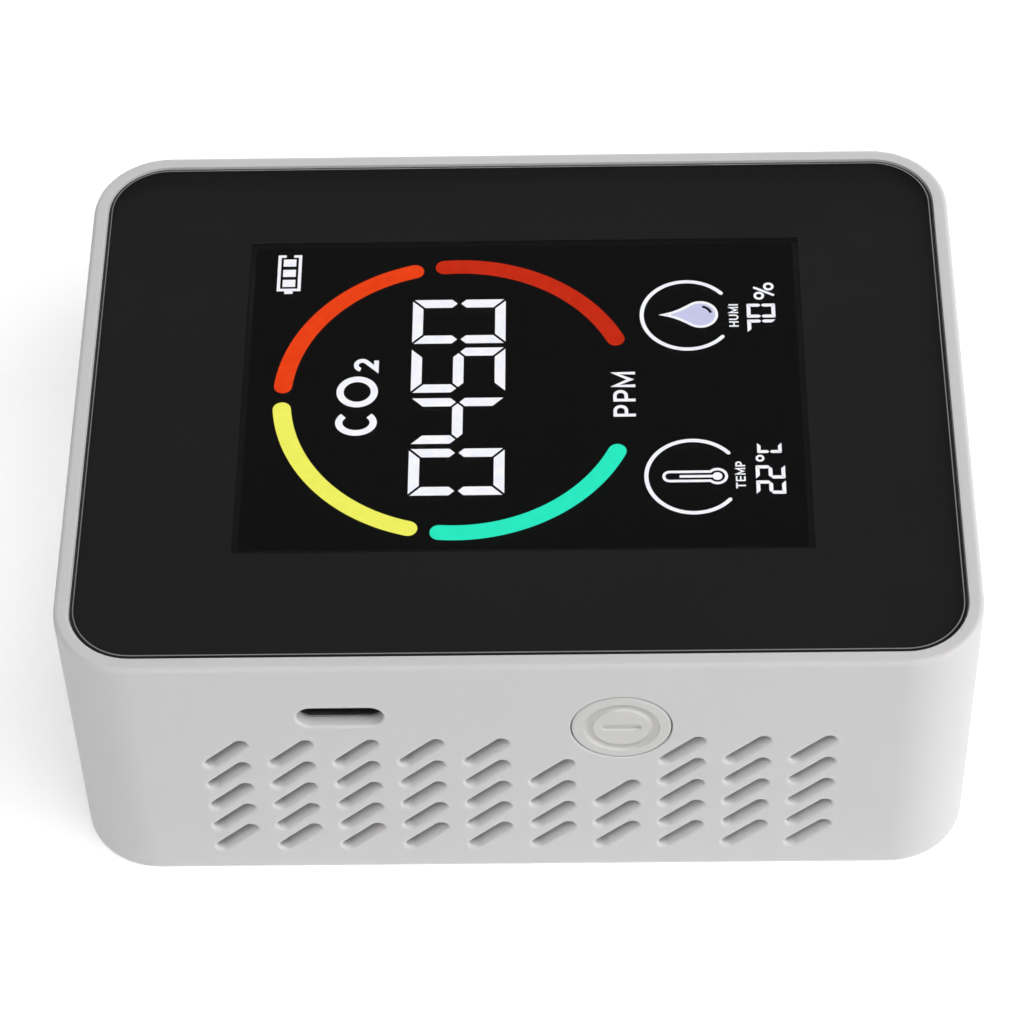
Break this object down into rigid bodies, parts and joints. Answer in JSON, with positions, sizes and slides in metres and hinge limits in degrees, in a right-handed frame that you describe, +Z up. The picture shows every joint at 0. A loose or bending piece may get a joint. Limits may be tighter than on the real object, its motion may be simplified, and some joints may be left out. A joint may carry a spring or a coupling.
{
  "type": "air quality monitor",
  "caption": "Small rectangular air quality monitor with a lit display under a flush black lens, slanted vents, a charging inlet and a push button in one wall.",
  "frame": {"origin": "middle of the underside, with the monitor lying on its back", "axes": "+X along the long side, +Y away from the vented wall, +Z up out of the display; the display reads with its top towards -X"},
  "size_m": [0.092, 0.07, 0.0345],
  "materials": {
    "shell_white": "fine moulded satin white",
    "cover_white": "fine moulded satin white",
    "button_white": "smooth warm white",
    "lens_clear": "polished clear",
    "mask_black": "printed black film",
    "tape_black": "dull adhesive film",
    "display_steel": "thin pressed sheet",
    "display_glass": "dark display glass, switched on",
    "display_white": "lit white figures, emissive",
    "display_red": "lit red arc, emissive",
    "display_orange": "lit orange arc, emissive",
    "display_yellow": "lit yellow arc, emissive",
    "display_turquoise": "lit turquoise arc, emissive",
    "backlight_white": "white light guide",
    "flex_amber": "amber film",
    "connector_black": "moulded black",
    "plunger_black": "moulded black",
    "carrier_black": "moulded black",
    "board_green": "green solder mask",
    "screw_steel": "zinc plated",
    "usb_steel": "plated shell",
    "chip_black": "moulded epoxy",
    "inductor_grey": "pressed ferrite",
    "sensor_case": "moulded white",
    "filter_white": "fine membrane",
    "pin_brass": "plated",
    "battery_foil": "laminated foil",
    "lead_red": "silicone insulation",
    "plug_white": "natural nylon"
  },
  "bodies": {
    "root": {"housing": "shell_white", "back_cover": "cover_white", "front_lens": "lens_clear", "lens_mask": "mask_black", "lens_tape": "tape_black", "display_frame": "display_steel", "display_panel": "display_glass", "display_backlight": "backlight_white", "display_flex": "flex_amber", "flex_connector": "connector_black", "display_carrier": "carrier_black", "main_board": "board_green", "board_screws": "screw_steel", "usb_shell": "usb_steel", "usb_tongue": "connector_black", "switch_body": "connector_black", "switch_cover": "display_steel", "controller_chip": "chip_black", "charger_chip": "chip_black", "power_inductor": "inductor_grey", "co2_sensor_board": "board_green", "co2_sensor_case": "sensor_case", "co2_sensor_filters": "filter_white", "co2_sensor_pins": "pin_brass", "climate_sensor": "chip_black", "battery_cell": "battery_foil", "battery_tape": "tape_black", "battery_leads": "lead_red", "battery_plug": "plug_white", "battery_header": "plug_white", "cover_screws": "screw_steel"},
    "power_button": {"power_button": "button_white"},
    "switch_plunger": {"switch_plunger": "plunger_black"}
  },
  "joints": [
    {"name": "power_button_press", "type": "slide", "parent": "root", "child": "power_button", "axis": [0, 1, 0], "range_m": [0, 0.00035], "stiffness_N_per_m": 600},
    {"name": "switch_plunger_press", "type": "slide", "parent": "root", "child": "switch_plunger", "axis": [0, 1, 0], "range_m": [0, 0.00035]}
  ],
  "couplings": [
    {"joint": "switch_plunger_press", "follows": "power_button_press", "ratio": 1}
  ]
}
